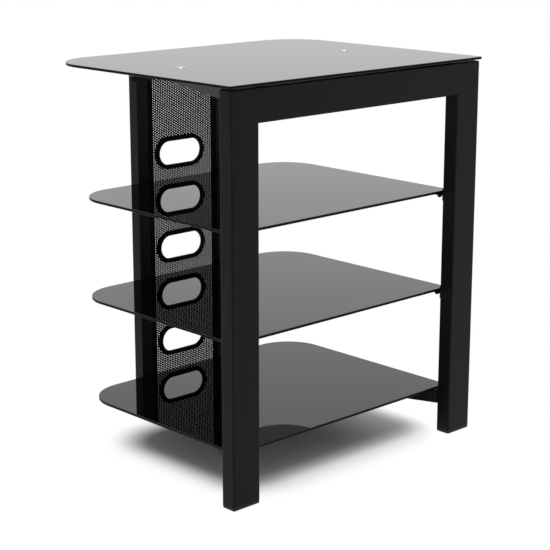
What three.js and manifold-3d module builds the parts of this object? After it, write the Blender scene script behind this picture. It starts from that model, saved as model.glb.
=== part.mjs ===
// Four-tier audio equipment rack: an inverted-U steel front frame, two rear posts with a perforated
// cable panel between them, slanting side arms, and four panes of black tempered glass.
// Millimetres, +Z up, +Y to the back. The origin is on the floor under the middle of the rack.
import * as THREE from 'three';
import { mergeVertices } from 'three/addons/utils/BufferGeometryUtils.js';
import Module from 'manifold-3d';

const wasm = await Module();
wasm.setup();

// Driving dimensions: front frame
const frameWidth = 612;
const frameHeight = 710;
const legWidth = 60;
const legDepth = 30;
const barHeight = 58;
const tubeWall = 2;
const tubeRadius = 3;
const weldGap = 0.3;

// Driving dimensions: rear posts and their cable panel
const postSize = 25;
const postWall = 1.5;
const postRadius = 2;
const postSpacing = 172;
const postInnerFlange = 12;
const postFrontY = 483;
const panelThickness = 1.2;
const panelSetback = 9;
const lipSetback = 1;
const lipReach = 11;
const panelBottom = 50;
const panelTopGap = 20;

// Driving dimensions: cable slots and their rims
const slotWidth = 104;
const slotHeight = 46;
const upperSlotZ = 517;
const middleSlotZ = 330;
const lowerSlotZ = 140;
const rimWidth = 8;
const rimFrontDepth = 2;
const rimBackDepth = 2;
const rimBackWidth = 9;
const rimNeckWall = 2.4;

// Driving dimensions: glass
const glassThickness = 5;
const glassEdgeBevel = 0.8;
const topFrontRadius = 4;
const shelfFrontRadius = 8;
const topOverhangSide = 5;
const topOverhangFront = 2;
const topRearY = 491;
const topRearRadius = 90;
const topPadHeight = 2.3;
const shelfWidth = 546;
const shelfFrontGap = 6;
const shelfRearY = 478;
const shelfRearRadius = 80;
const upperShelfZ = 470;
const middleShelfZ = 282;
const bottomShelfZ = 89;
const bottomShelfFrontGap = 2;
const bottomShelfRearY = 466;

// Driving dimensions: side arms
const topArmWidth = 20;
const topArmHeight = 20;
const topArmFrontX = 284;
const topArmRearX = 114;
const bottomArmWidth = 20;
const bottomArmHeight = 25;
const bottomArmFrontX = 257;
const bottomArmRearX = 80;
const armWall = 1.5;
const armRadius = 2;
const armPlateThickness = 3;
const armPlateHeight = 46;
const armPlateWidth = 50;

// Driving dimensions: shelf brackets, bumpers, pads, screws and caps
const bracketWidth = 20;
const bracketThickness = 2;
const bracketReach = 26;
const bracketDrop = 11;
const bracketRise = 12;
const bracketInset = 12;
const bumperRadius = 7;
const bumperHead = 2;
const bumperNeckRadius = 3;
const bumperBulbRadius = 4.5;
const bumperTail = 8;
const bumperEase = 0.5;
const padRadius = 7;
const bottomPadHeight = 3.5;
const frontPadInset = 76;
const rearPadY = 440;
const bottomPadFrontY = 90;
const bottomPadRearY = 410;
const screwHeadRadius = 3.4;
const screwHeadHeight = 2.2;
const screwShankRadius = 1.9;
const screwLength = 8;
const shoulderShare = 0.8;
const crownShare = 0.4;
const capRadius = 10;
const capHeight = 1.2;
const capBoltRadius = 3;
const capBoltLength = 14;
const capY = 246;

// Driving dimensions: tube plugs
const footThickness = 6;
const footRound = 2.5;
const plugDepth = 12;
const topPlugThickness = 2;

// Fits and facets
const clearance = 0.3;
const overrun = 5;
const cornerSteps = 3;
const slotSteps = 9;
const paneSteps = 10;
const holeSteps = 20;
const screwSteps = 16;
const roundSteps = 28;

// Where the pieces meet
const halfFrame = frameWidth / 2;
const openingHalf = halfFrame - legWidth;
const legCentreX = halfFrame - legWidth / 2;
const frontPadX = halfFrame - frontPadInset;
const postCentreX = postSpacing / 2 + postSize / 2;
const postBackY = postFrontY + postSize;
const panelTop = frameHeight - panelTopGap;
const glassBottom = frameHeight + topPadHeight;
const frontY = -topOverhangFront;
const originY = (frontY + postBackY) / 2;

const steelBlack = { color: 0x202021, roughness: 0.42, metalness: 0.0 };
const finishes = {
  tube: steelBlack,
  sheet: { color: 0x18181a, roughness: 0.45, metalness: 0.0 },
  glass: { color: 0x070708, roughness: 0.05, metalness: 0.0 },
  plastic: { color: 0x0e0e0f, roughness: 0.55, metalness: 0.0 },
  rubber: { color: 0x0b0b0b, roughness: 0.85, metalness: 0.0 },
  screw: { color: 0x1a1a1b, roughness: 0.35, metalness: 0.6 },
  chrome: { color: 0xcfd0d2, roughness: 0.25, metalness: 1.0 },
};

const rack = new THREE.Group();
const assembly = new THREE.Group();
assembly.position.y = -originY;
rack.add(assembly);

function addMesh(name, finish, geometry) {
  const mesh = new THREE.Mesh(geometry, new THREE.MeshStandardMaterial(finish));
  mesh.name = name;
  assembly.add(mesh);
  return mesh;
}

// Booleans
function solid(geometry) {
  const bare = geometry.clone();
  bare.deleteAttribute('normal');
  bare.deleteAttribute('uv');
  const merged = mergeVertices(bare);
  return new wasm.Manifold(new wasm.Mesh({
    numProp: 3,
    vertProperties: new Float32Array(merged.attributes.position.array),
    triVerts: new Uint32Array(merged.index.array),
  }));
}

function surface(manifold) {
  const mesh = manifold.getMesh();
  const geometry = new THREE.BufferGeometry();
  geometry.setAttribute('position', new THREE.BufferAttribute(new Float32Array(mesh.vertProperties), 3));
  geometry.setIndex(new THREE.BufferAttribute(new Uint32Array(mesh.triVerts), 1));
  geometry.computeVertexNormals();
  return geometry;
}

function cut(body, ...tools) {
  return surface(tools.reduce((left, tool) => left.subtract(solid(tool)), solid(body)));
}

function join(body, ...others) {
  return surface(others.reduce((sum, other) => sum.add(solid(other)), solid(body)));
}

// Outlines
function roundedRectangle(path, width, height, radius) {
  const w = width / 2 - radius;
  const h = height / 2 - radius;
  path.absarc(w, h, radius, 0, Math.PI / 2);
  path.absarc(-w, h, radius, Math.PI / 2, Math.PI);
  path.absarc(-w, -h, radius, Math.PI, 1.5 * Math.PI);
  path.absarc(w, -h, radius, 1.5 * Math.PI, 2 * Math.PI);
  path.closePath();
  return path;
}

function stadium(path, width, height) {
  const w = (width - height) / 2;
  path.absarc(w, 0, height / 2, -Math.PI / 2, Math.PI / 2);
  path.absarc(-w, 0, height / 2, Math.PI / 2, 1.5 * Math.PI);
  path.closePath();
  return path;
}

function tubeSection(width, height, wall, radius) {
  const shape = roundedRectangle(new THREE.Shape(), width, height, radius);
  const innerRadius = Math.max(radius - wall, wall / 2);
  shape.holes.push(roundedRectangle(new THREE.Path(), width - 2 * wall, height - 2 * wall, innerRadius));
  return shape;
}

function extrude(shape, length, steps = cornerSteps) {
  return new THREE.ExtrudeGeometry(shape, { depth: length, bevelEnabled: false, curveSegments: steps });
}

// Turns an extrusion so that its own x, y and z run along three directions of the rack.
function aim(geometry, xWay, yWay, zWay) {
  return geometry.applyMatrix4(new THREE.Matrix4().makeBasis(xWay, yWay, zWay));
}

const alongX = new THREE.Vector3(1, 0, 0);
const alongY = new THREE.Vector3(0, 1, 0);
const alongZ = new THREE.Vector3(0, 0, 1);

function box(x0, x1, y0, y1, z0, z1) {
  const geometry = new THREE.BoxGeometry(Math.abs(x1 - x0), Math.abs(y1 - y0), Math.abs(z1 - z0));
  return geometry.translate((x0 + x1) / 2, (y0 + y1) / 2, (z0 + z1) / 2);
}

// A round bar with its axis along Y, or along Z when upright.
function roundBar(radius, length, x, y, z, upright, steps = holeSteps) {
  const bar = new THREE.CylinderGeometry(radius, radius, length, steps);
  if (upright) bar.rotateX(Math.PI / 2);
  return bar.translate(x, y, z);
}

function lathe(points, steps = roundSteps) {
  const profile = points.map(([radius, height]) => new THREE.Vector2(radius, height));
  return new THREE.LatheGeometry(profile, steps);
}

// Front frame: two legs and a top bar, mitred and welded at the corners
const mitreRun = Math.hypot(legWidth, barHeight);

// The half of a corner that lies past the mitre line, on the bar's side or on the leg's side.
function mitreTool(side, keepLeg) {
  const toCentre = new THREE.Vector2(-legWidth, -barHeight).divideScalar(mitreRun);
  const across = new THREE.Vector2(-toCentre.y, toCentre.x).multiplyScalar(keepLeg ? -1 : 1);
  const middle = new THREE.Vector2(halfFrame, frameHeight).addScaledVector(across, -weldGap / 2);
  const reach = mitreRun + legWidth;
  const start = middle.clone().addScaledVector(toCentre, -legWidth);
  const end = middle.clone().addScaledVector(toCentre, reach);
  const points = [start, end, end.clone().addScaledVector(across, 2 * reach),
    start.clone().addScaledVector(across, 2 * reach)];
  const shape = new THREE.Shape(points.map((p) => new THREE.Vector2(side * p.x, p.y)));
  const tool = extrude(shape, legDepth + 2 * overrun).rotateX(Math.PI / 2);
  return tool.translate(0, legDepth + overrun, 0);
}

const bracketFlangeTop = (shelfZ) => shelfZ - glassThickness - bumperHead;
const bracketScrewZ = (shelfZ) => bracketFlangeTop(shelfZ) - bracketThickness - (bracketDrop - bracketThickness) / 2;
const hangingShelves = { upper: upperShelfZ, middle: middleShelfZ };
const frontBracketX = openingHalf + bracketInset;

function pilotHoles(x, wallY) {
  return Object.values(hangingShelves).map((shelfZ) =>
    roundBar(screwShankRadius + clearance, 2 * screwLength, x, wallY, bracketScrewZ(shelfZ), false));
}

for (const [name, side] of [['leg_left', -1], ['leg_right', 1]]) {
  const tube = extrude(tubeSection(legWidth, legDepth, tubeWall, tubeRadius), frameHeight - footThickness);
  tube.translate(side * legCentreX, legDepth / 2, footThickness);
  addMesh(name, finishes.tube, cut(tube, mitreTool(side, true), ...pilotHoles(side * frontBracketX, legDepth)));
}

const barTube = extrude(tubeSection(legDepth, barHeight, tubeWall, tubeRadius), frameWidth);
aim(barTube, alongY, alongZ, alongX).translate(-halfFrame, legDepth / 2, frameHeight - barHeight / 2);
addMesh('top_bar', finishes.tube, cut(barTube, mitreTool(-1, false), mitreTool(1, false)));

// Plastic feet pushed into the ends of the legs and posts
function foot(width, depth, wall, radius) {
  const shape = roundedRectangle(new THREE.Shape(), width - 2 * footRound, depth - 2 * footRound,
    Math.max(radius - footRound, footRound / 2));
  const pad = new THREE.ExtrudeGeometry(shape, {
    depth: footThickness - footRound, bevelEnabled: true, bevelThickness: footRound,
    bevelSize: footRound, bevelSegments: 3, curveSegments: 2,
  });
  pad.translate(0, 0, footRound);
  const skirt = wall + clearance;
  const trim = box(-width, width, -depth, depth, footThickness, footThickness + width);
  const plug = extrude(roundedRectangle(new THREE.Shape(), width - 2 * skirt, depth - 2 * skirt, wall / 2),
    plugDepth + footThickness - footRound, 2).translate(0, 0, footRound);
  return join(cut(pad, trim), plug);
}

for (const [name, side] of [['leg_foot_left', -1], ['leg_foot_right', 1]]) {
  const piece = foot(legWidth, legDepth, tubeWall, tubeRadius);
  addMesh(name, finishes.plastic, piece.translate(side * legCentreX, legDepth / 2, 0));
}

// Rear posts: a channel open at the back, whose inner flange stops just behind the cable panel,
// with a foot below and a thin plug on top
for (const [suffix, side] of [['left', -1], ['right', 1]]) {
  const x = side * postCentreX;
  const y = postFrontY + postSize / 2;
  const tube = extrude(tubeSection(postSize, postSize, postWall, postRadius),
    frameHeight - footThickness - topPlugThickness).translate(x, y, footThickness);
  const openBack = box(side * (postSpacing / 2 - overrun), side * (postSpacing / 2 + postSize - postWall),
    postFrontY + postInnerFlange, postBackY + overrun, 0, frameHeight);
  addMesh(`post_${suffix}`, finishes.tube, cut(tube, openBack, ...pilotHoles(x, postFrontY)));
  addMesh(`post_foot_${suffix}`, finishes.plastic, foot(postSize, postSize, postWall, postRadius).translate(x, y, 0));

  const lid = extrude(roundedRectangle(new THREE.Shape(), postSize, postSize, postRadius), topPlugThickness);
  const skirt = postWall + clearance;
  const plug = extrude(roundedRectangle(new THREE.Shape(), postSize - 2 * skirt, postSize - 2 * skirt, postWall / 2),
    plugDepth + topPlugThickness / 2).translate(0, 0, -plugDepth);
  addMesh(`post_plug_${suffix}`, finishes.plastic,
    join(lid, plug).translate(x, y, frameHeight - topPlugThickness));
}

// Cable panel: one sheet whose sides are folded forward and then inward, with three round-ended slots
const panelFrontY = postFrontY + panelSetback;
const lipFrontY = postFrontY + lipSetback;
const panelHalf = postSpacing / 2 - clearance;
const slots = { upper: upperSlotZ, middle: middleSlotZ, lower: lowerSlotZ };

// The folded sheet in plan, with the lips' front at y = 0.
function panelSection() {
  const t = panelThickness;
  const floor = panelSetback - lipSetback;
  const back = floor + t;
  const shape = new THREE.Shape();
  shape.moveTo(-panelHalf + lipReach, 0);
  shape.lineTo(-panelHalf + lipReach, t);
  shape.lineTo(-panelHalf + t, t);
  shape.lineTo(-panelHalf + t, floor);
  shape.lineTo(panelHalf - t, floor);
  shape.lineTo(panelHalf - t, t);
  shape.lineTo(panelHalf - lipReach, t);
  shape.lineTo(panelHalf - lipReach, 0);
  shape.absarc(panelHalf - t, t, t, -Math.PI / 2, 0);
  shape.absarc(panelHalf - t, back - t, t, 0, Math.PI / 2);
  shape.absarc(-panelHalf + t, back - t, t, Math.PI / 2, Math.PI);
  shape.absarc(-panelHalf + t, t, t, Math.PI, 1.5 * Math.PI);
  shape.closePath();
  return shape;
}

// A round-ended prism along Y, centred on the slot's middle.
function slotBar(width, height, y0, y1, z) {
  const bar = extrude(stadium(new THREE.Shape(), width, height), y1 - y0, slotSteps).rotateX(Math.PI / 2);
  return bar.translate(0, y1, z);
}

const panelSheet = extrude(panelSection(), panelTop - panelBottom).translate(0, lipFrontY, panelBottom);
const neckWidth = slotWidth + 2 * rimNeckWall;
const neckHeight = slotHeight + 2 * rimNeckWall;
const panelSlots = Object.values(slots).map((z) =>
  slotBar(neckWidth + 2 * clearance, neckHeight + 2 * clearance,
    panelFrontY - clearance, panelFrontY + panelThickness + overrun, z));
addMesh('cable_panel', finishes.sheet, cut(panelSheet, ...panelSlots));

// Slot rims: a front lip, a neck through the sheet and a wider lip that is snapped on behind it
for (const [suffix, z] of Object.entries(slots)) {
  const lipBack = panelFrontY + panelThickness + clearance;
  const frontLip = slotBar(slotWidth + 2 * rimWidth, slotHeight + 2 * rimWidth,
    panelFrontY - rimFrontDepth, panelFrontY, z);
  const neck = slotBar(neckWidth, neckHeight, panelFrontY - rimFrontDepth / 2, lipBack + rimBackDepth / 2, z);
  const backLip = slotBar(slotWidth + 2 * rimBackWidth, slotHeight + 2 * rimBackWidth,
    lipBack, lipBack + rimBackDepth, z);
  const opening = slotBar(slotWidth, slotHeight, panelFrontY - overrun, lipBack + overrun, z);
  addMesh(`grommet_${suffix}`, finishes.plastic, cut(join(frontLip, neck, backLip), opening));
}

// Side arms: a mitred tube with a plate welded on at the post
function armLine(frontX, rearX, side) {
  const front = new THREE.Vector3(side * frontX, legDepth, 0);
  const rear = new THREE.Vector3(side * rearX, postFrontY - armPlateThickness, 0);
  return { front, rear, way: rear.clone().sub(front).normalize() };
}

function armPoint(line, y) {
  return line.front.x + (line.rear.x - line.front.x) * (y - line.front.y) / (line.rear.y - line.front.y);
}

function arm(line, width, height, topZ, plateTop, side) {
  const { front, rear, way } = line;
  const length = front.distanceTo(rear) + 2 * (width + overrun);
  const across = new THREE.Vector3(-way.y, way.x, 0);
  const tube = aim(extrude(tubeSection(width, height, armWall, armRadius), length), across, alongZ, way);
  tube.translate(front.x - way.x * (width + overrun), front.y - way.y * (width + overrun), topZ - height / 2);
  const reach = frameWidth;
  const beyondLeg = box(-reach, reach, front.y - reach, front.y, topZ - 2 * height, topZ + height);
  const weldIn = armPlateThickness / 2;
  const beyondPlate = box(-reach, reach, rear.y + weldIn, rear.y + reach, topZ - 2 * height, topZ + height);
  const plateX = rear.x - side * (armPlateWidth / 2 - width / 2) * Math.sign(plateTop.lean);
  const plate = box(plateX - armPlateWidth / 2, plateX + armPlateWidth / 2, rear.y, rear.y + armPlateThickness,
    plateTop.z - armPlateHeight, plateTop.z);
  return join(cut(tube, beyondLeg, beyondPlate), plate);
}

const topArmZ = frameHeight;
const bottomArmZ = bottomShelfZ - glassThickness - bottomPadHeight;
for (const [suffix, side] of [['left', -1], ['right', 1]]) {
  const topLine = armLine(topArmFrontX, topArmRearX, side);
  const bottomLine = armLine(bottomArmFrontX, bottomArmRearX, side);
  const capX = armPoint(topLine, capY);
  const bore = roundBar(capBoltRadius + clearance, topArmHeight, capX, capY, topArmZ, true);
  addMesh(`arm_top_${suffix}`, finishes.tube,
    cut(arm(topLine, topArmWidth, topArmHeight, topArmZ, { z: topArmZ, lean: 1 }, side), bore));
  addMesh(`arm_bottom_${suffix}`, finishes.tube,
    arm(bottomLine, bottomArmWidth, bottomArmHeight, bottomArmZ, { z: bottomArmZ, lean: -1 }, side));

  // Pads between the glass and what carries it
  const pad = (name, x, y, z, height) => addMesh(name, finishes.rubber,
    roundBar(padRadius, height, x, y, z + height / 2, true, roundSteps));
  pad(`top_pad_front_${suffix}`, side * frontPadX, legDepth / 2, frameHeight, topPadHeight);
  pad(`top_pad_rear_${suffix}`, armPoint(topLine, rearPadY), rearPadY, topArmZ, topPadHeight);
  pad(`bottom_pad_front_${suffix}`, armPoint(bottomLine, bottomPadFrontY), bottomPadFrontY, bottomArmZ,
    bottomPadHeight);
  pad(`bottom_pad_rear_${suffix}`, armPoint(bottomLine, bottomPadRearY), bottomPadRearY, bottomArmZ,
    bottomPadHeight);

  // Cap bolt through the top glass and a rubber washer into the arm
  const washer = cut(roundBar(capRadius, topPadHeight, capX, capY, frameHeight + topPadHeight / 2, true, roundSteps),
    roundBar(capBoltRadius + clearance, 2 * topPadHeight, capX, capY, frameHeight, true));
  addMesh(`washer_${suffix}`, finishes.rubber, washer);
  const capTop = glassBottom + glassThickness;
  const bolt = lathe([[0, -capBoltLength], [capBoltRadius, -capBoltLength], [capBoltRadius, 0], [capRadius, 0],
    [capRadius, capHeight / 2], [capRadius - capHeight / 2, capHeight], [0, capHeight]]);
  addMesh(`cap_bolt_${suffix}`, finishes.chrome,
    bolt.rotateX(Math.PI / 2).translate(capX, capY, capTop));
}

// Glass panes: square-cornered at the front, well rounded at the back, with eased edges
function pane(width, yFront, yRear, frontRadius, rearRadius) {
  const e = glassEdgeBevel;
  const half = width / 2 - e;
  const near = yFront + e;
  const far = yRear - e;
  const front = frontRadius - e;
  const rear = rearRadius - e;
  const shape = new THREE.Shape();
  shape.absarc(half - front, near + front, front, 1.5 * Math.PI, 2 * Math.PI);
  shape.absarc(half - rear, far - rear, rear, 0, Math.PI / 2);
  shape.absarc(-half + rear, far - rear, rear, Math.PI / 2, Math.PI);
  shape.absarc(-half + front, near + front, front, Math.PI, 1.5 * Math.PI);
  shape.closePath();
  const body = new THREE.ExtrudeGeometry(shape, {
    depth: glassThickness - 2 * e, bevelEnabled: true, bevelThickness: e, bevelSize: e,
    bevelSegments: 1, curveSegments: paneSteps,
  });
  return body.translate(0, 0, e);
}

const topPane = pane(frameWidth + 2 * topOverhangSide, frontY, topRearY, topFrontRadius, topRearRadius);
const capHoles = [-1, 1].map((side) => roundBar(capBoltRadius + clearance, 4 * glassThickness,
  armPoint(armLine(topArmFrontX, topArmRearX, side), capY), capY, 0, true));
addMesh('top_glass', finishes.glass, cut(topPane, ...capHoles).translate(0, 0, glassBottom));

const shelfFrontY = legDepth + shelfFrontGap;
for (const [suffix, z] of Object.entries(hangingShelves)) {
  const shelf = pane(shelfWidth, shelfFrontY, shelfRearY, shelfFrontRadius, shelfRearRadius);
  addMesh(`shelf_${suffix}`, finishes.glass, shelf.translate(0, 0, z - glassThickness));
}
const bottomShelf = pane(shelfWidth, legDepth + bottomShelfFrontGap, bottomShelfRearY,
  shelfFrontRadius, shelfRearRadius);
addMesh('shelf_bottom', finishes.glass, bottomShelf.translate(0, 0, bottomShelfZ - glassThickness));

// Shelf brackets: a tab screwed to the tube, with a rubber bumper pushed through the flange welded to it.
// Built at the origin with the tube's face at y = 0 and the flange's top at z = 0, reaching towards +Y.
function bracket() {
  const t = bracketThickness;
  const shape = new THREE.Shape();
  shape.moveTo(0, -bracketDrop);
  shape.lineTo(t, -bracketDrop);
  shape.lineTo(t, -t);
  shape.lineTo(bracketReach, -t);
  shape.lineTo(bracketReach, 0);
  shape.lineTo(t, 0);
  shape.lineTo(t, bracketRise);
  shape.lineTo(0, bracketRise);
  shape.closePath();
  const bent = aim(extrude(shape, bracketWidth), alongY, alongZ, alongX).translate(-bracketWidth / 2, 0, 0);
  const screwHole = roundBar(screwShankRadius + clearance, 4 * t, 0, 0, bracketScrewLocalZ, false);
  const bumperHole = roundBar(bumperNeckRadius + clearance, 4 * t, 0, bumperY, 0, true);
  return cut(bent, screwHole, bumperHole);
}

const bumperY = bracketReach - bumperRadius - bracketThickness;
const bracketScrewLocalZ = -bracketThickness - (bracketDrop - bracketThickness) / 2;

function bumper() {
  const neckTop = 0;
  const neckBottom = -bracketThickness - clearance;
  const profile = lathe([[0, -bumperTail], [bumperBulbRadius / 2, -bumperTail],
    [bumperBulbRadius, (neckBottom - bumperTail) / 2], [bumperBulbRadius, neckBottom],
    [bumperNeckRadius, neckBottom], [bumperNeckRadius, neckTop], [bumperRadius, neckTop],
    [bumperRadius, bumperHead - bumperEase], [bumperRadius - bumperEase, bumperHead], [0, bumperHead]], holeSteps);
  return profile.rotateX(Math.PI / 2).translate(0, bumperY, 0);
}

function bracketScrew() {
  const head = bracketThickness;
  const profile = lathe([[0, head - screwLength], [screwShankRadius, head - screwLength], [screwShankRadius, head],
    [screwHeadRadius, head], [screwHeadRadius * shoulderShare, head + screwHeadHeight * shoulderShare],
    [screwHeadRadius * crownShare, head + screwHeadHeight], [0, head + screwHeadHeight]], screwSteps);
  return profile.translate(0, 0, bracketScrewLocalZ);
}

for (const [shelf, shelfZ] of Object.entries(hangingShelves)) {
  for (const [suffix, side] of [['left', -1], ['right', 1]]) {
    for (const [end, x, y, turn] of [['front', frontBracketX, legDepth, 0], ['rear', postCentreX, postFrontY, Math.PI]]) {
      const place = (geometry) => geometry.rotateZ(turn).translate(side * x, y, bracketFlangeTop(shelfZ));
      const name = `${shelf}_${end}_${suffix}`;
      addMesh(`bracket_${name}`, finishes.tube, place(bracket()));
      addMesh(`bumper_${name}`, finishes.rubber, place(bumper()));
      addMesh(`screw_${name}`, finishes.screw, place(bracketScrew()));
    }
  }
}

export default rack;
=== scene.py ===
# Four-tier audio rack in black steel and black glass, dressed round its CAD frame.
# Every length is in metres, in the CAD model's own axes: the floor at z = 0 and the front towards -y.
import math

import bmesh
import bpy
from mathutils import Matrix, Vector


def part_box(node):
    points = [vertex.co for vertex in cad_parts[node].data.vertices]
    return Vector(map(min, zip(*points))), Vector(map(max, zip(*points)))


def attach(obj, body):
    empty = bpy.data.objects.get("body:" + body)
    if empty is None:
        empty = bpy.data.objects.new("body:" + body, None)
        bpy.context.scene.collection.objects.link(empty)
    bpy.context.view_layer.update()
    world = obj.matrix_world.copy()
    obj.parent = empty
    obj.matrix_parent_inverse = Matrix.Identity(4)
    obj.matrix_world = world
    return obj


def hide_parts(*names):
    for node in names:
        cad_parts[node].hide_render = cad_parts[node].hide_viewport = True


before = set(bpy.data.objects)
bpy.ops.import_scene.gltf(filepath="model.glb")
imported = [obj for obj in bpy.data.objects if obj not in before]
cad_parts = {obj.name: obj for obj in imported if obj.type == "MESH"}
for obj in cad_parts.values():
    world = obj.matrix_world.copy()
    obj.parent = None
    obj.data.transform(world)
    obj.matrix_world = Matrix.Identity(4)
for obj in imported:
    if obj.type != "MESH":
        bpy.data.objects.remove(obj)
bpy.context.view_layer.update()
MM = 0.001

# Camera: the photograph was taken from the front left, a little above the top glass, with a long lens.
# Its verticals are parallel, as a shift lens keeps them. A shift that large would push the rack out of
# every other view, so this is the nearest camera without one.
CAMERA_PLACE = Vector((-1928, -2063, 1030)) * MM
CAMERA_YAW = math.radians(43.487)
CAMERA_PITCH = math.radians(-14.273)
CAMERA_LENS = 101.58
SENSOR_WIDTH = 36

camera_data = bpy.data.cameras.new("camera")
camera_data.lens = CAMERA_LENS
camera_data.sensor_width = SENSOR_WIDTH
camera = bpy.data.objects.new("camera", camera_data)
camera.location = CAMERA_PLACE
camera.rotation_euler = (math.pi / 2 + CAMERA_PITCH, 0, -CAMERA_YAW)
bpy.context.scene.collection.objects.link(camera)
bpy.context.scene.camera = camera
bpy.context.scene.view_settings.view_transform = "Standard"

# Studio light: a soft even surround and one broad lamp overhead. Where metal and glass mirror the
# surround, its white walls fade upwards between two heights, given as sines of their elevation.
AMBIENT = 0.42
WALL_LOW = 0.92
WALL_HIGH = 0.37
FADE_FROM = 0.12
FADE_TO = 0.62
OVERHEAD_STRENGTH = 1.9
OVERHEAD_SPREAD = math.radians(50)
OVERHEAD_TILT = (math.radians(14), math.radians(-10), 0)


def add_node(tree, kind, inputs=None, **settings):
    """Adds a node, sets its properties, and fills its sockets with values or links."""
    node = tree.nodes.new(kind)
    for name, value in settings.items():
        setattr(node, name, value)
    for socket, value in (inputs or {}).items():
        if isinstance(value, bpy.types.NodeSocket):
            tree.links.new(value, node.inputs[socket])
        else:
            node.inputs[socket].default_value = value
    return node


def mirrored(tree, ray):
    """One for a ray that a glossy or clear surface sent on, and zero for any other."""
    both = {0: ray.outputs["Is Glossy Ray"], 1: ray.outputs["Is Transmission Ray"]}
    return add_node(tree, "ShaderNodeMath", both, operation="MAXIMUM").outputs[0]


world = bpy.data.worlds.new("studio")
world.use_nodes = True
bpy.context.scene.world = world
tree = world.node_tree
tree.nodes.clear()
ray = add_node(tree, "ShaderNodeLightPath")
way = add_node(tree, "ShaderNodeTexCoord").outputs["Generated"]
height = add_node(tree, "ShaderNodeSeparateXYZ", {0: way})
fade = add_node(tree, "ShaderNodeMapRange", {
    "Value": height.outputs["Z"], "From Min": FADE_FROM, "From Max": FADE_TO,
    "To Min": WALL_LOW, "To Max": WALL_HIGH}, interpolation_type="SMOOTHSTEP")
surround = add_node(tree, "ShaderNodeBackground", {"Color": fade.outputs[0]})
ambient = add_node(tree, "ShaderNodeBackground", {"Color": (AMBIENT, AMBIENT, AMBIENT, 1)})
white = add_node(tree, "ShaderNodeBackground", {"Color": (1, 1, 1, 1)})
seen_in_gloss = add_node(tree, "ShaderNodeMixShader", {
    0: mirrored(tree, ray), 1: ambient.outputs[0], 2: surround.outputs[0]})
seen_by_camera = add_node(tree, "ShaderNodeMixShader", {
    0: ray.outputs["Is Camera Ray"], 1: seen_in_gloss.outputs[0], 2: white.outputs[0]})
add_node(tree, "ShaderNodeOutputWorld", {"Surface": seen_by_camera.outputs[0]})

overhead_data = bpy.data.lights.new("overhead", "SUN")
overhead_data.energy = OVERHEAD_STRENGTH
overhead_data.angle = OVERHEAD_SPREAD
overhead = bpy.data.objects.new("overhead", overhead_data)
overhead.rotation_euler = OVERHEAD_TILT
bpy.context.scene.collection.objects.link(overhead)

# Floor: a sweep of white paper, clear when seen from below. The camera and the glass see it as plain
# white from about the shelves' outline outwards, so that the rack's shadow stays close round it.
FLOOR_HALF = 8.0
PAPER_SHADE = 0.95
# the shadow stays whole for SHADOW_ROUND past its half sizes, and is gone at SHADOW_END past them
SHADOW_MIDDLE = Vector((7, -30, 0)) * MM
SHADOW_HALF = Vector((156, 103, 0)) * MM
SHADOW_ROUND = 51 * MM
SHADOW_END = 146 * MM
# to the right it is thinned with painted light: white mixed in from nothing at THIN_FROM on the x axis
# to THIN_MOST at THIN_TO
THIN_FROM = 51 * MM
THIN_TO = 600 * MM
THIN_MOST = 0.77


def new_material(name):
    """A new material with an empty node tree. Returns the material and its tree."""
    material = bpy.data.materials.new(name)
    material.use_nodes = True
    material.node_tree.nodes.clear()
    return material, material.node_tree


paper, tree = new_material("white_paper_sweep")
place = add_node(tree, "ShaderNodeTexCoord").outputs["Object"]
centred = add_node(tree, "ShaderNodeVectorMath", {0: place, 1: SHADOW_MIDDLE}, operation="SUBTRACT")
across = add_node(tree, "ShaderNodeVectorMath", {0: centred.outputs[0]}, operation="ABSOLUTE")
past = add_node(tree, "ShaderNodeVectorMath", {
    0: across.outputs[0], 1: SHADOW_HALF}, operation="SUBTRACT")
outside = add_node(tree, "ShaderNodeVectorMath", {
    0: past.outputs[0], 1: (0, 0, 0)}, operation="MAXIMUM")
distance = add_node(tree, "ShaderNodeVectorMath", {0: outside.outputs[0]}, operation="LENGTH")
clear = add_node(tree, "ShaderNodeMapRange", {
    "Value": distance.outputs["Value"], "From Min": SHADOW_ROUND, "From Max": SHADOW_END},
    interpolation_type="SMOOTHSTEP")
# painted light: more plain white towards the right, which thins the rack's shadow there
sideways = add_node(tree, "ShaderNodeSeparateXYZ", {0: place})
painted_thinning = add_node(tree, "ShaderNodeMapRange", {
    "Value": sideways.outputs["X"], "From Min": THIN_FROM, "From Max": THIN_TO,
    "To Max": THIN_MOST}, interpolation_type="SMOOTHSTEP")
cleared = add_node(tree, "ShaderNodeMath", {
    0: clear.outputs[0], 1: painted_thinning.outputs[0]}, operation="ADD", use_clamp=True)
ray = add_node(tree, "ShaderNodeLightPath")
seen = add_node(tree, "ShaderNodeMath", {
    0: ray.outputs["Is Camera Ray"], 1: mirrored(tree, ray)}, operation="MAXIMUM")
share = add_node(tree, "ShaderNodeMath", {
    0: seen.outputs[0], 1: cleared.outputs[0]}, operation="MULTIPLY")
matt = add_node(tree, "ShaderNodeBsdfDiffuse", {"Color": (PAPER_SHADE, PAPER_SHADE, PAPER_SHADE, 1)})
plain = add_node(tree, "ShaderNodeEmission", {"Color": (1, 1, 1, 1), "Strength": 1})
above = add_node(tree, "ShaderNodeMixShader", {
    0: share.outputs[0], 1: matt.outputs[0], 2: plain.outputs[0]})
below = add_node(tree, "ShaderNodeBsdfTransparent")
back = add_node(tree, "ShaderNodeNewGeometry")
shown = add_node(tree, "ShaderNodeMixShader", {
    0: back.outputs["Backfacing"], 1: above.outputs[0], 2: below.outputs[0]})
add_node(tree, "ShaderNodeOutputMaterial", {"Surface": shown.outputs[0]})

bpy.ops.object.select_all(action="DESELECT")
bpy.ops.mesh.primitive_plane_add(size=2 * FLOOR_HALF)
floor = bpy.context.object
floor.name = "floor"
floor.data.materials.append(paper)

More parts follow.
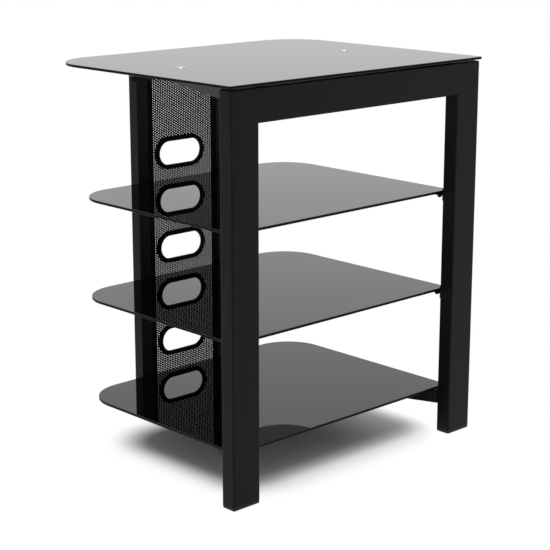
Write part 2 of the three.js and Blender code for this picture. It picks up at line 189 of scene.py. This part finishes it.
# Front frame: an inverted U of 60 x 30 mm steel tube, mitred, welded and ground flush at the corners,
# then powder coated satin black as one piece.
FRAME_EDGE_RADIUS = 3 * MM
FRAME_EDGE_STEPS = 4
CUT_OVERRUN = 10 * MM
CLOSE = 0.01 * MM
SHARP_ANGLE = math.radians(57)
SMOOTH_ANGLE = math.radians(31)
COAT_DRIFT_SIZE = 90 * MM
COAT_SHEEN_DRIFT = 0.05


def linear(code):
    """Turns a colour written as six hex digits into linear RGBA."""
    shares = [int(code[i:i + 2], 16) / 255 for i in (0, 2, 4)]
    return (*[s / 12.92 if s <= 0.04045 else ((s + 0.055) / 1.055) ** 2.4 for s in shares], 1)


def near(a, b):
    """True when two places are as good as the same."""
    return abs(a - b) < CLOSE


def make_active(piece):
    """Selects one piece and nothing else."""
    bpy.ops.object.select_all(action="DESELECT")
    bpy.context.view_layer.objects.active = piece
    piece.select_set(True)


def start_cube(name, low, high):
    """Adds a box between two corners, with its place in its mesh, and makes it the active piece."""
    bpy.ops.object.select_all(action="DESELECT")
    bpy.ops.mesh.primitive_cube_add(size=1, location=(Vector(low) + Vector(high)) / 2)
    piece = bpy.context.object
    piece.name = name
    piece.scale = Vector(high) - Vector(low)
    bpy.ops.object.transform_apply(location=True, rotation=True, scale=True)
    return piece


def round_edges(piece, wanted, radius, steps):
    """Rounds those edges of the piece that pass a test, which gets their two ends and the edge."""
    make_active(piece)
    bpy.ops.object.mode_set(mode="EDIT")
    bpy.ops.mesh.select_mode(type="EDGE")
    bpy.ops.mesh.select_all(action="DESELECT")
    mesh = bmesh.from_edit_mesh(piece.data)
    for edge in mesh.edges:
        if wanted(edge.verts[0].co, edge.verts[1].co, edge):
            edge.select_set(True)
    bmesh.update_edit_mesh(piece.data)
    bpy.ops.mesh.bevel(offset=radius, segments=steps, affect="EDGES", clamp_overlap=False)
    bpy.ops.object.mode_set(mode="OBJECT")


def cut_away(piece, tool):
    """Cuts the tool out of the piece and deletes the tool."""
    make_active(piece)
    bpy.ops.object.modifier_add(type="BOOLEAN")
    modifier = piece.modifiers[-1]
    modifier.object = tool
    modifier.operation = "DIFFERENCE"
    modifier.solver = "MANIFOLD"
    bpy.ops.object.modifier_apply(modifier=modifier.name)
    bpy.data.objects.remove(tool, do_unlink=True)


def smooth(piece):
    """Smooths the rounded edges and keeps the flat faces flat."""
    make_active(piece)
    bpy.ops.object.shade_smooth_by_angle(angle=SMOOTH_ANGLE)
    bpy.ops.object.modifier_add(type="WEIGHTED_NORMAL")
    modifier = piece.modifiers[-1]
    modifier.keep_sharp = True
    bpy.ops.object.modifier_apply(modifier=modifier.name)


def dress(piece, material, body, slot, *nodes):
    """Gives a piece its material, its body and the CAD nodes that it stands for. Its slot is not used.
    """
    piece.data.materials.clear()
    piece.data.materials.append(material)
    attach(piece, body)
    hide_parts(*nodes)


def powder_coat(name, dark, light, rough, shine, peel_size):
    """Baked powder: black, with a faint orange peel and a slow drift of sheen and shade."""
    material, tree = new_material(name)
    place = add_node(tree, "ShaderNodeTexCoord").outputs["Object"]
    peel = add_node(tree, "ShaderNodeTexNoise", {"Vector": place, "Scale": 1 / peel_size, "Detail": 2})
    drift = add_node(tree, "ShaderNodeTexNoise", {
        "Vector": place, "Scale": 1 / COAT_DRIFT_SIZE, "Detail": 2})
    shade = add_node(tree, "ShaderNodeValToRGB", {"Fac": drift.outputs["Fac"]})
    shade.color_ramp.elements[0].color = linear(dark)
    shade.color_ramp.elements[1].color = linear(light)
    sheen = add_node(tree, "ShaderNodeMapRange", {
        "Value": drift.outputs["Fac"],
        "To Min": rough - COAT_SHEEN_DRIFT, "To Max": rough + COAT_SHEEN_DRIFT})
    relief = add_node(tree, "ShaderNodeBump", {
        "Height": peel.outputs["Fac"], "Strength": 0.25, "Distance": 0.05 * MM})
    coat = add_node(tree, "ShaderNodeBsdfPrincipled", {
        "Base Color": shade.outputs["Color"], "Roughness": sheen.outputs[0], "IOR": 1.5,
        "Specular IOR Level": shine, "Normal": relief.outputs[0]})
    add_node(tree, "ShaderNodeOutputMaterial", {"Surface": coat.outputs[0]})
    return material


# orange peel on tube is about 1.5 mm across, drawn at 3 mm so that it shows
coat_black = powder_coat(
    "satin_black_powder_coat", dark="080809", light="0d0d0e", rough=0.42, shine=0.12, peel_size=3 * MM)
leg_low, leg_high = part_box("leg_left")
bar_low, bar_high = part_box("top_bar")
front_frame = start_cube("front_frame", leg_low, (-leg_low.x, leg_high.y, bar_high.z))
opening_low = (leg_high.x, leg_low.y - CUT_OVERRUN, leg_low.z - CUT_OVERRUN)
opening_high = (-leg_high.x, leg_high.y + CUT_OVERRUN, bar_low.z)
cut_away(front_frame, start_cube("opening", opening_low, opening_high))
round_edges(
    front_frame,
    lambda a, b, edge: edge.is_convex and edge.calc_face_angle() > SHARP_ANGLE
    and not (near(a.z, leg_low.z) and near(b.z, leg_low.z)),
    FRAME_EDGE_RADIUS, FRAME_EDGE_STEPS)
smooth(front_frame)
dress(
    front_frame, coat_black, "rack_frame", "black_powder_coat", "leg_left", "leg_right", "top_bar")

# Rear posts, side arms and shelf brackets: stock channel, tube and strip, cut, bent and welded, with the
# same coat. Their CAD shapes stay.
COATED = ("post_left", "post_right", "arm_", "bracket_")


def recoat(starts, material):
    """Gives the CAD nodes whose names start so, and which stay, their finished material."""
    for name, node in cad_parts.items():
        if name.startswith(starts):
            for slot in node.material_slots:
                slot.material = material


recoat(COATED, coat_black)

# Feet and post plugs: black polypropylene, injection moulded with a fine spark-eroded grain. They are
# pushed into the ends of the legs and the posts. Their CAD shapes stay.
PLASTIC = ("leg_foot", "post_foot", "post_plug")


def moulded_plastic():
    """Black polypropylene: dull, with a fine even grain."""
    material, tree = new_material("moulded_black_polypropylene")
    place = add_node(tree, "ShaderNodeTexCoord").outputs["Object"]
    # mould grain is about 0.3 mm, drawn at 1 mm so that it shows
    grain = add_node(tree, "ShaderNodeTexNoise", {"Vector": place, "Scale": 1 / (1 * MM), "Detail": 3})
    shade = add_node(tree, "ShaderNodeValToRGB", {"Fac": grain.outputs["Fac"]})
    shade.color_ramp.elements[0].color = linear("0a0a0a")
    shade.color_ramp.elements[1].color = linear("121212")
    relief = add_node(tree, "ShaderNodeBump", {
        "Height": grain.outputs["Fac"], "Strength": 0.4, "Distance": 0.05 * MM})
    plastic = add_node(tree, "ShaderNodeBsdfPrincipled", {
        "Base Color": shade.outputs["Color"], "Roughness": 0.55, "IOR": 1.49,
        "Specular IOR Level": 0.3, "Normal": relief.outputs[0]})
    add_node(tree, "ShaderNodeOutputMaterial", {"Surface": plastic.outputs[0]})
    return material


recoat(PLASTIC, moulded_plastic())

# Cable panel: 1.2 mm steel sheet punched all over with small round holes in staggered columns, folded
# forward and then inward at both sides, slotted for cables, and coated.
SHEET = 1.2 * MM
LIP_REACH = 11 * MM
BEND_STEPS = 3
HOLE_DIAMETER = 2.65 * MM
HOLE_COLUMN_PITCH = 4.35 * MM
HOLE_ROW_PITCH = 4.75 * MM
HOLE_MARGIN = 2.5 * MM
HOLE_SIDES = 6
RIM_OPENING = Vector((104, 0, 46)) * MM
RIM_NECK_WALL = 2.4 * MM
NECK_ROOM = 0.3 * MM
STADIUM_SIDES = 96
LEVELS = ("upper", "middle", "lower")


def start_cylinder(name, sides, radius, y_front, y_back, x, z):
    """Adds a cylinder that lies along y between two depths, with its place in its mesh."""
    bpy.ops.object.select_all(action="DESELECT")
    bpy.ops.mesh.primitive_cylinder_add(
        vertices=sides, radius=radius, depth=y_back - y_front,
        location=(x, (y_front + y_back) / 2, z), rotation=(math.pi / 2, 0, 0))
    bpy.ops.object.transform_apply(location=True, rotation=True, scale=True)
    piece = bpy.context.object
    piece.name = name
    return piece


def stadium(name, margin, y_front, y_back, z):
    """A long round-ended bar between two depths, larger all round than the rim's opening."""
    bar = start_cylinder(name, STADIUM_SIDES, RIM_OPENING.z / 2 + margin, y_front, y_back, 0, z)
    bpy.ops.object.mode_set(mode="EDIT")
    bpy.ops.mesh.select_mode(type="VERT")
    for side in (-1, 1):
        bpy.ops.mesh.select_all(action="DESELECT")
        mesh = bmesh.from_edit_mesh(bar.data)
        for vertex in mesh.verts:
            vertex.select_set(side * vertex.co.x > CLOSE)
        mesh.select_flush_mode()
        bmesh.update_edit_mesh(bar.data)
        bpy.ops.transform.translate(value=(side * (RIM_OPENING.x - RIM_OPENING.z) / 2, 0, 0))
    bpy.ops.object.mode_set(mode="OBJECT")
    return bar


def hole_punches(y_front, y_back, first_x, first_z, columns, rows):
    """A grid of small six-sided punches between two depths, as one mesh."""
    punches = start_cylinder(
        "punches", HOLE_SIDES, HOLE_DIAMETER / 2, y_front, y_back, first_x, first_z)
    steps = ((columns, (2 * HOLE_COLUMN_PITCH, 0, 0)), (rows, (0, 0, HOLE_ROW_PITCH)))
    for count, step in steps:
        bpy.ops.object.modifier_add(type="ARRAY")
        modifier = punches.modifiers[-1]
        modifier.count = count
        modifier.use_relative_offset = False
        modifier.use_constant_offset = True
        modifier.constant_offset_displace = step
        bpy.ops.object.modifier_apply(modifier=modifier.name)
    return punches


panel_low, panel_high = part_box("cable_panel")
cable_panel = start_cube("perforated_cable_panel", panel_low, panel_high)
round_edges(
    cable_panel, lambda a, b, edge: near(a.x, b.x) and near(a.y, b.y), SHEET, BEND_STEPS)
hollow_low = panel_low + Vector((SHEET, SHEET, -CUT_OVERRUN))
hollow_high = panel_high + Vector((-SHEET, -SHEET, CUT_OVERRUN))
cut_away(cable_panel, start_cube("hollow", hollow_low, hollow_high))
mouth_low = panel_low + Vector((LIP_REACH, -CUT_OVERRUN, -CUT_OVERRUN))
mouth_high = (panel_high.x - LIP_REACH, panel_low.y + 2 * SHEET, panel_high.z + CUT_OVERRUN)
cut_away(cable_panel, start_cube("mouth", mouth_low, mouth_high))
for level_name in LEVELS:
    rim_low, rim_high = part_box(f"grommet_{level_name}")
    cut_away(cable_panel, stadium(
        "slot", RIM_NECK_WALL + NECK_ROOM, panel_high.y - 2 * SHEET, panel_high.y + CUT_OVERRUN,
        (rim_low.z + rim_high.z) / 2))

columns_each_side = int((panel_high.x - SHEET - HOLE_DIAMETER / 2) / HOLE_COLUMN_PITCH)
rows = int((panel_high.z - panel_low.z - 2 * HOLE_MARGIN - HOLE_DIAMETER) / HOLE_ROW_PITCH)
first_row = (panel_low.z + panel_high.z - rows * HOLE_ROW_PITCH) / 2
for shift in (0, 1):
    start = shift - columns_each_side
    columns = (columns_each_side - start) // 2 + 1
    cut_away(cable_panel, hole_punches(
        panel_low.y - CUT_OVERRUN, panel_high.y + CUT_OVERRUN, start * HOLE_COLUMN_PITCH,
        first_row + shift * HOLE_ROW_PITCH / 2, columns, rows + 1 - shift))
# the coat gathers round the holes, so its peel is finer: about 1 mm, drawn at 2 mm so that it shows
sheet_black = powder_coat(
    "matt_black_powder_coat_on_sheet", dark="040405", light="070708", rough=0.5, shine=0.05,
    peel_size=2 * MM)
dress(cable_panel, sheet_black, "rack_frame", "perforated_sheet", "cable_panel")

# Slot rims: soft PVC mouldings. A lip lies on the sheet in front, a neck goes through the slot, and a
# wider lip is snapped on behind. One is modelled and copied to the other slots.
RIM_FRONT_LIP = 8 * MM
RIM_BACK_LIP = 9 * MM
RIM_LIP_DEPTH = 2 * MM
RIM_EDGE = 0.8 * MM
RIM_EDGE_STEPS = 3


def select_faces(piece, wanted):
    """In edit mode, selects the faces whose centre passes a test."""
    bpy.ops.mesh.select_mode(type="FACE")
    bpy.ops.mesh.select_all(action="DESELECT")
    mesh = bmesh.from_edit_mesh(piece.data)
    for face in mesh.faces:
        if wanted(face.calc_center_median()):
            face.select_set(True)
    bmesh.update_edit_mesh(piece.data)


def pull_out(piece, wanted, inset, move):
    """Insets the faces whose centre passes a test and pulls them out."""
    make_active(piece)
    bpy.ops.object.mode_set(mode="EDIT")
    select_faces(piece, wanted)
    if inset:
        bpy.ops.mesh.inset(thickness=inset, depth=0)
    bpy.ops.mesh.extrude_region_move(TRANSFORM_OT_translate={"value": move})
    bpy.ops.object.mode_set(mode="OBJECT")


def copy_piece(source, name, move):
    """Copies a piece with its own mesh and moves the copy inside that mesh."""
    copy = bpy.data.objects.new(name, source.data.copy())
    bpy.context.scene.collection.objects.link(copy)
    copy.data.transform(move)
    return copy


def soft_pvc():
    """Black plasticised PVC: smooth and a little waxy, with flow marks from the mould."""
    material, tree = new_material("black_soft_pvc")
    place = add_node(tree, "ShaderNodeTexCoord").outputs["Object"]
    # flow marks lie about 8 mm apart
    flow = add_node(tree, "ShaderNodeTexNoise", {"Vector": place, "Scale": 1 / (8 * MM), "Detail": 2})
    rough = add_node(tree, "ShaderNodeMapRange", {
        "Value": flow.outputs["Fac"], "To Min": 0.4, "To Max": 0.52})
    shade = add_node(tree, "ShaderNodeValToRGB", {"Fac": flow.outputs["Fac"]})
    shade.color_ramp.elements[0].color = linear("040404")
    shade.color_ramp.elements[1].color = linear("080808")
    pvc = add_node(tree, "ShaderNodeBsdfPrincipled", {
        "Base Color": shade.outputs["Color"], "Roughness": rough.outputs[0], "IOR": 1.53,
        "Specular IOR Level": 0.05})
    add_node(tree, "ShaderNodeOutputMaterial", {"Surface": pvc.outputs[0]})
    return material


pvc_black = soft_pvc()
rim_low, rim_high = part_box("grommet_upper")
rim_z = (rim_low.z + rim_high.z) / 2
lip_back = rim_low.y + RIM_LIP_DEPTH
neck_back = rim_high.y - RIM_LIP_DEPTH
rim = stadium("slot_rim_upper", RIM_FRONT_LIP, rim_low.y, lip_back, rim_z)
pull_out(
    rim, lambda centre: near(centre.y, lip_back),
    RIM_FRONT_LIP - RIM_NECK_WALL, (0, neck_back - lip_back, 0))
pull_out(rim, lambda centre: near(centre.y, neck_back), 0, (0, RIM_LIP_DEPTH, 0))


def is_rim_end(centre, *depths):
    """True for the middle of the rim's front or back, whose centre is on the slot's axis."""
    on_axis = near(centre.x, 0) and near(centre.z, rim_z)
    return on_axis and any(near(centre.y, depth) for depth in depths)


bpy.ops.object.mode_set(mode="EDIT")
select_faces(rim, lambda centre: near(centre.y, neck_back + RIM_LIP_DEPTH / 2))
bpy.ops.mesh.extrude_region_shrink_fatten(
    TRANSFORM_OT_shrink_fatten={"value": RIM_BACK_LIP - RIM_NECK_WALL})
select_faces(rim, lambda centre: is_rim_end(centre, rim_low.y))
bpy.ops.mesh.inset(thickness=RIM_FRONT_LIP, depth=0)
select_faces(rim, lambda centre: is_rim_end(centre, rim_high.y))
bpy.ops.mesh.inset(thickness=RIM_NECK_WALL, depth=0)
select_faces(rim, lambda centre: is_rim_end(centre, rim_low.y, rim_high.y))
bpy.ops.mesh.bridge_edge_loops()
bpy.ops.object.mode_set(mode="OBJECT")
round_edges(
    rim,
    lambda a, b, edge: near(a.y, b.y) and (near(a.y, rim_low.y) or near(a.y, rim_high.y))
    and edge.calc_face_angle() > SHARP_ANGLE,
    RIM_EDGE, RIM_EDGE_STEPS)
smooth(rim)
for level_name in LEVELS[1:]:
    other_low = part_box(f"grommet_{level_name}")[0]
    copy = copy_piece(rim, f"slot_rim_{level_name}", Matrix.Translation(other_low - rim_low))
    dress(copy, pvc_black, "rack_frame", "black_plastic", f"grommet_{level_name}")
dress(rim, pvc_black, "rack_frame", "black_plastic", "grommet_upper")

# Glass: four panes of 5 mm black tempered glass with round rear corners. Their edges are ground, which
# leaves them nearly matt. The arrises are polished like the faces, and each draws a thin bright line.
PANE_EDGE = 0.8 * MM
PANE_EDGE_STEPS = 2
PANE_CORNER_STEPS = 32
TOP_FRONT_RADIUS = 4 * MM
TOP_REAR_RADIUS = 90 * MM
SHELF_FRONT_RADIUS = 8 * MM
SHELF_REAR_RADIUS = 80 * MM
# the ground faces are those whose normals rise or fall less than this
GROUND_RISE = 0.2


def tempered_glass():
    """Black glass: a perfectly smooth skin over solid black, with the slow wave of furnace rollers."""
    material, tree = new_material("black_tempered_glass")
    place = add_node(tree, "ShaderNodeTexCoord").outputs["Object"]
    # roller wave is about 250 mm from crest to crest
    wave = add_node(tree, "ShaderNodeTexNoise", {
        "Vector": place, "Scale": 1 / (250 * MM), "Detail": 0})
    relief = add_node(tree, "ShaderNodeBump", {
        "Height": wave.outputs["Fac"], "Strength": 0.1, "Distance": 0.2 * MM})
    glass = add_node(tree, "ShaderNodeBsdfPrincipled", {
        "Base Color": linear("050506"), "Roughness": 0.015, "IOR": 1.5, "Normal": relief.outputs[0]})
    add_node(tree, "ShaderNodeOutputMaterial", {"Surface": glass.outputs[0]})
    return material


def ground_edge():
    """The ground edge of black glass: dull, with fine grinding marks."""
    material, tree = new_material("ground_black_glass_edge")
    place = add_node(tree, "ShaderNodeTexCoord").outputs["Object"]
    # grinding marks are about 0.2 mm apart, drawn at 0.6 mm so that they show
    marks = add_node(tree, "ShaderNodeTexNoise", {
        "Vector": place, "Scale": 1 / (0.6 * MM), "Detail": 2})
    rough = add_node(tree, "ShaderNodeMapRange", {
        "Value": marks.outputs["Fac"], "To Min": 0.4, "To Max": 0.6})
    edge = add_node(tree, "ShaderNodeBsdfPrincipled", {
        "Base Color": linear("040405"), "Roughness": rough.outputs[0], "IOR": 1.5,
        "Specular IOR Level": 0.06})
    add_node(tree, "ShaderNodeOutputMaterial", {"Surface": edge.outputs[0]})
    return material


glass_black = tempered_glass()
edge_black = ground_edge()


def glass_pane(name, node, front_radius, rear_radius, body):
    """A flat pane in the place of its CAD node, with rounded corners and eased, ground edges."""
    low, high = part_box(node)
    pane = start_cube(name, low, high)
    for y, radius in ((high.y, rear_radius), (low.y, front_radius)):
        round_edges(
            pane, lambda a, b, edge: near(a.y, y) and near(b.y, y) and near(a.x, b.x),
            radius, PANE_CORNER_STEPS)
    round_edges(
        pane, lambda a, b, edge: near(a.z, b.z) and edge.calc_face_angle() > SHARP_ANGLE,
        PANE_EDGE, PANE_EDGE_STEPS)
    smooth(pane)
    dress(pane, glass_black, body, "black_glass", node)
    pane.data.materials.append(edge_black)
    for face in pane.data.polygons:
        face.material_index = int(abs(face.normal.z) < GROUND_RISE)


glass_pane("top_pane", "top_glass", TOP_FRONT_RADIUS, TOP_REAR_RADIUS, "rack_frame")
for level_name in ("upper", "middle", "bottom"):
    glass_pane(
        f"{level_name}_pane", f"shelf_{level_name}",
        SHELF_FRONT_RADIUS, SHELF_REAR_RADIUS, f"{level_name}_shelf")

# Glass caps: turned steel discs on the top glass with a satin nickel finish, whose bolts go down into
# the arms. One is modelled and copied.
CAP_DISC_HEIGHT = 1.2 * MM
CAP_BOLT_RADIUS = 3 * MM
CAP_EDGE = 1.1 * MM
CAP_EDGE_STEPS = 5
CAP_SIDES = 96


def satin_nickel():
    """Turned and nickel-plated steel: pale, with fine tool marks."""
    material, tree = new_material("satin_nickel_plate")
    place = add_node(tree, "ShaderNodeTexCoord").outputs["Object"]
    # tool marks are about 0.1 mm apart, drawn at 0.5 mm so that they show
    marks = add_node(tree, "ShaderNodeTexNoise", {
        "Vector": place, "Scale": 1 / (0.5 * MM), "Detail": 2})
    rough = add_node(tree, "ShaderNodeMapRange", {
        "Value": marks.outputs["Fac"], "To Min": 0.38, "To Max": 0.48})
    nickel = add_node(tree, "ShaderNodeBsdfPrincipled", {
        "Base Color": linear("f2f2f0"), "Metallic": 1.0, "Roughness": rough.outputs[0]})
    add_node(tree, "ShaderNodeOutputMaterial", {"Surface": nickel.outputs[0]})
    return material


nickel = satin_nickel()
cap_low, cap_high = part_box("cap_bolt_left")
cap_radius = (cap_high.x - cap_low.x) / 2
disc_bottom = cap_high.z - CAP_DISC_HEIGHT
bpy.ops.object.select_all(action="DESELECT")
bpy.ops.mesh.primitive_cylinder_add(
    vertices=CAP_SIDES, radius=cap_radius, depth=CAP_DISC_HEIGHT, location=(
        (cap_low.x + cap_high.x) / 2, (cap_low.y + cap_high.y) / 2, (disc_bottom + cap_high.z) / 2))
bpy.ops.object.transform_apply(location=True, rotation=True, scale=True)
cap = bpy.context.object
cap.name = "glass_cap_left"
pull_out(
    cap, lambda centre: near(centre.z, disc_bottom),
    cap_radius - CAP_BOLT_RADIUS, (0, 0, cap_low.z - disc_bottom))
round_edges(
    cap, lambda a, b, edge: near(a.z, cap_high.z) and near(b.z, cap_high.z),
    CAP_EDGE, CAP_EDGE_STEPS)
smooth(cap)
other_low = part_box("cap_bolt_right")[0]
copy = copy_piece(cap, "glass_cap_right", Matrix.Translation(other_low - cap_low))
dress(cap, nickel, "rack_frame", "satin_metal", "cap_bolt_left")
dress(copy, nickel, "rack_frame", "satin_metal", "cap_bolt_right")

# Rubber: the washers and pads under the glass and the bumpers that the shelves rest on, in black EPDM.
# The pads are cut from sheet and the bumpers moulded. Their CAD shapes stay.
RUBBER = ("top_pad", "bottom_pad", "washer", "bumper")


def epdm_rubber():
    """Black EPDM: matt, with a trace of grey bloom."""
    material, tree = new_material("black_epdm_rubber")
    place = add_node(tree, "ShaderNodeTexCoord").outputs["Object"]
    # bloom gathers in patches of about 4 mm
    bloom = add_node(tree, "ShaderNodeTexNoise", {"Vector": place, "Scale": 1 / (4 * MM), "Detail": 4})
    shade = add_node(tree, "ShaderNodeValToRGB", {"Fac": bloom.outputs["Fac"]})
    shade.color_ramp.elements[0].color = linear("090909")
    shade.color_ramp.elements[1].color = linear("171717")
    rubber = add_node(tree, "ShaderNodeBsdfPrincipled", {
        "Base Color": shade.outputs["Color"], "Roughness": 0.8, "IOR": 1.5,
        "Specular IOR Level": 0.3})
    add_node(tree, "ShaderNodeOutputMaterial", {"Surface": rubber.outputs[0]})
    return material


recoat(RUBBER, epdm_rubber())

# Screws: M4 button heads with a hexagon socket, in black zinc. One is modelled, and copied to every
# bracket and to the plates that hold the arms to the posts.
HEAD_RADIUS = 3.4 * MM
HEAD_HEIGHT = 2.2 * MM
HEAD_CROWN = 1.3 * MM
HEAD_CROWN_STEPS = 5
HEAD_SIDES = 32
SOCKET_RADIUS = 1.45 * MM
SOCKET_DEPTH = 1.2 * MM
SOCKET_SIDES = 6
SHANK_RADIUS = 1.9 * MM
SCREW_LENGTH = 8 * MM


def black_zinc():
    """Black zinc plate: dark metal with a soft, mottled sheen."""
    material, tree = new_material("black_zinc_plate")
    place = add_node(tree, "ShaderNodeTexCoord").outputs["Object"]
    # the plating's mottle is about 1 mm across
    mottle = add_node(tree, "ShaderNodeTexNoise", {
        "Vector": place, "Scale": 1 / (1 * MM), "Detail": 3})
    rough = add_node(tree, "ShaderNodeMapRange", {
        "Value": mottle.outputs["Fac"], "To Min": 0.28, "To Max": 0.42})
    shade = add_node(tree, "ShaderNodeValToRGB", {"Fac": mottle.outputs["Fac"]})
    shade.color_ramp.elements[0].color = linear("161617")
    shade.color_ramp.elements[1].color = linear("222224")
    zinc = add_node(tree, "ShaderNodeBsdfPrincipled", {
        "Base Color": shade.outputs["Color"], "Metallic": 0.7, "Roughness": rough.outputs[0]})
    add_node(tree, "ShaderNodeOutputMaterial", {"Surface": zinc.outputs[0]})
    return material


# The screw is made lying along y, with the underside of its head at y = 0 and its head towards -y.
screw = start_cylinder("screw", HEAD_SIDES, HEAD_RADIUS, -HEAD_HEIGHT, 0, 0, 0)
pull_out(screw, lambda centre: near(centre.y, 0), HEAD_RADIUS - SHANK_RADIUS, (0, SCREW_LENGTH, 0))
round_edges(
    screw, lambda a, b, edge: near(a.y, -HEAD_HEIGHT) and near(b.y, -HEAD_HEIGHT),
    HEAD_CROWN, HEAD_CROWN_STEPS)
cut_away(screw, start_cylinder(
    "socket", SOCKET_SIDES, SOCKET_RADIUS, -HEAD_HEIGHT - CUT_OVERRUN, SOCKET_DEPTH - HEAD_HEIGHT, 0, 0))
smooth(screw)
zinc_black = black_zinc()


def place_screw(name, seat, turned, *nodes):
    """Copies the screw to a seat, facing the front, or the back when turned."""
    turn = Matrix.Rotation(math.pi if turned else 0, 4, "Z")
    copy = copy_piece(screw, name, Matrix.Translation(seat) @ turn)
    dress(copy, zinc_black, "rack_frame", "black_screw", *nodes)


for level_name in ("upper", "middle"):
    for side in ("left", "right"):
        for end in ("front", "rear"):
            node = f"screw_{level_name}_{end}_{side}"
            low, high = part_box(node)
            centre = (low + high) / 2
            seat_y = high.y - HEAD_HEIGHT if end == "front" else low.y + HEAD_HEIGHT
            place_screw(f"bracket_{node}", (centre.x, seat_y, centre.z), end == "front", node)

# Plate screws: two in each plate on the rear end of an arm, driven from the front into the post behind,
# beside the tube that is welded to the plate.
PLATE_THICKNESS = 3 * MM
# each screw's place, outwards from the post's middle and upwards from the arm's top
PLATE_SCREWS = {
    "top": ((0, -33 * MM), (-6 * MM, -10 * MM)),
    "bottom": ((3 * MM, -12 * MM), (0, -35 * MM))}
for level_name, places in PLATE_SCREWS.items():
    for side, outward in (("left", -1), ("right", 1)):
        arm_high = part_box(f"arm_{level_name}_{side}")[1]
        post_low, post_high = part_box(f"post_{side}")
        post_x = (post_low.x + post_high.x) / 2
        for number, (outwards, up) in enumerate(places, 1):
            seat = (post_x + outward * outwards, arm_high.y - PLATE_THICKNESS, arm_high.z + up)
            place_screw(f"plate_screw_{level_name}_{side}_{number}", seat, False)
bpy.data.objects.remove(screw, do_unlink=True)
